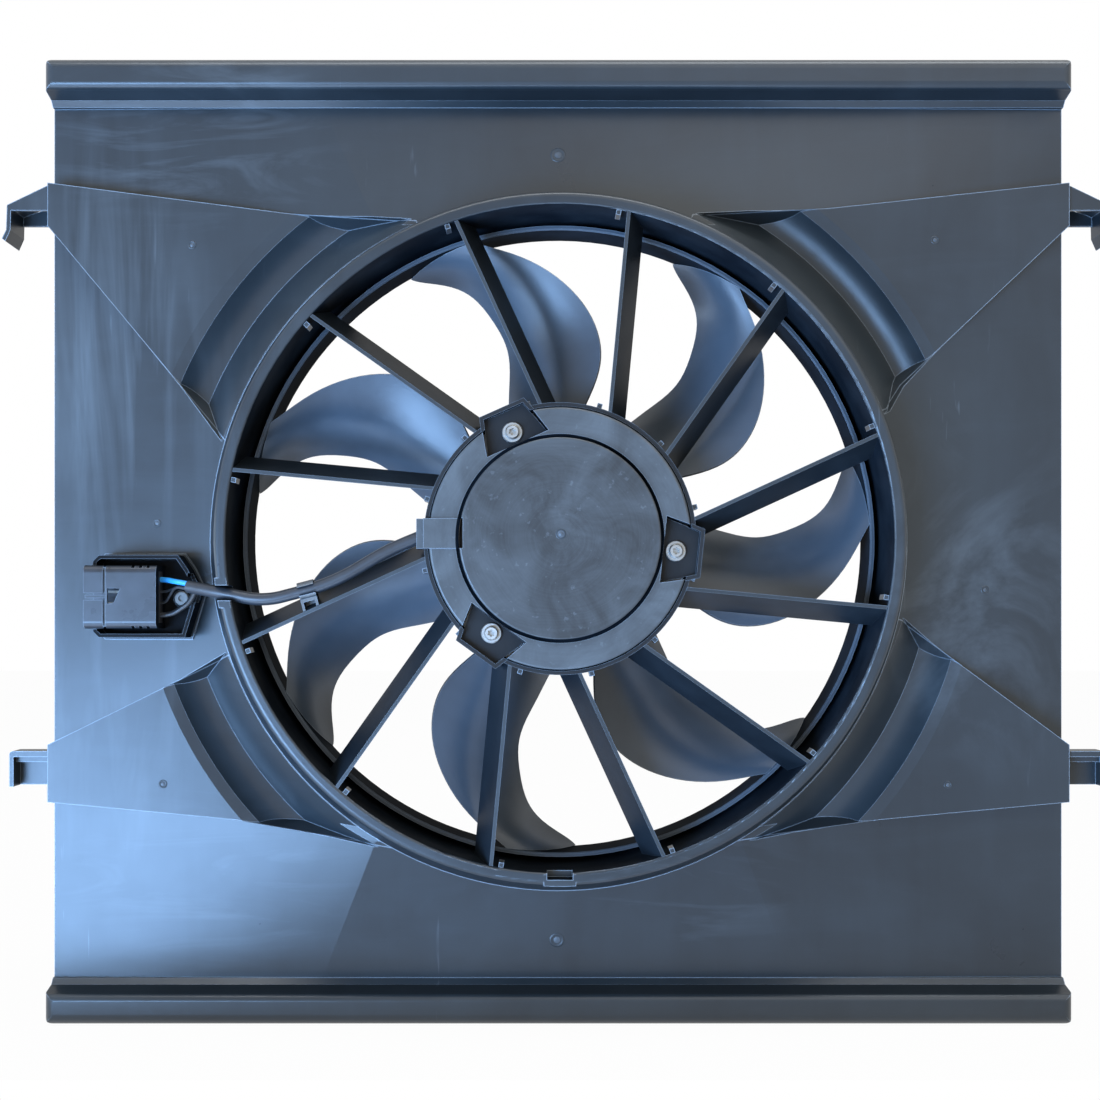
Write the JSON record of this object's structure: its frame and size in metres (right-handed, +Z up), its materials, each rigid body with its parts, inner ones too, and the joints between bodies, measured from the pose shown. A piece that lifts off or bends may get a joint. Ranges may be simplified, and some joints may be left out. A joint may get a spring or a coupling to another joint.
{
  "type": "radiator fan",
  "caption": "Radiator fan with a rectangular shroud, round duct, inclined stator ribs, flat electric motor and ring fan, held by side hooks, with a short lead to a plug socket.",
  "frame": {"origin": "on the fan's axis, in the plane where the shroud's rim meets the radiator", "axes": "+Y from the motor to the radiator, +Z up, +X to the right as seen from the motor side"},
  "size_m": [0.6984, 0.079, 0.602],
  "materials": {
    "shroud_plastic": "satin moulded",
    "fan_plastic": "satin moulded",
    "cover_plastic": "satin moulded",
    "cast_housing": "as cast",
    "steel": "zinc plated",
    "magnet_black": "epoxy coated",
    "copper": "enamelled wire",
    "terminal": "tin plated",
    "seal_rubber": "smooth",
    "board_green": "solder mask",
    "component_black": "moulded",
    "connector_plastic": "moulded",
    "sheath_black": "smooth",
    "wire_blue": "smooth",
    "wire_black": "smooth"
  },
  "bodies": {
    "shroud": {"rail_top": "shroud_plastic", "rail_bottom": "shroud_plastic", "duct_skirt": "shroud_plastic", "shroud_top": "shroud_plastic", "shroud_bottom": "shroud_plastic", "shroud_left": "shroud_plastic", "shroud_right": "shroud_plastic", "corner_upper_left": "shroud_plastic", "corner_upper_right": "shroud_plastic", "corner_lower_left": "shroud_plastic", "corner_lower_right": "shroud_plastic", "duct_ring": "shroud_plastic", "stator_ribs": "shroud_plastic", "rib_pads": "shroud_plastic", "motor_carrier": "shroud_plastic", "hook_upper_left": "shroud_plastic", "hook_upper_right": "shroud_plastic", "hook_lower_left": "shroud_plastic", "hook_lower_right": "shroud_plastic", "compression_sleeves": "steel", "flange_bolts": "steel", "motor_housing": "cast_housing", "motor_cover": "cover_plastic", "cover_seal": "seal_rubber", "control_board": "board_green", "board_parts": "component_black", "stator_core": "steel", "windings": "copper", "bearing_outer_rings": "steel", "cable_gland": "cover_plastic", "cable_sheath": "sheath_black", "blue_wire": "wire_blue", "black_wire": "wire_black", "signal_wires": "wire_black", "cable_clip": "connector_plastic", "connector_bracket": "connector_plastic", "bracket_screw": "steel", "connector_housing": "connector_plastic", "connector_pins": "terminal", "socket_seal": "seal_rubber", "wire_seal": "seal_rubber"},
    "fan": {"shaft": "steel", "bearing_inner_rings": "steel", "retaining_ring": "steel", "rotor_cup": "steel", "magnets": "magnet_black", "fan_hub": "fan_plastic", "fan_blades": "fan_plastic", "fan_band": "fan_plastic", "fan_screws": "steel"}
  },
  "joints": [
    {"name": "fan_spin", "type": "hinge", "parent": "shroud", "child": "fan", "pos_m": [0, 0, 0], "axis": [0, 1, 0], "continuous": true}
  ]
}
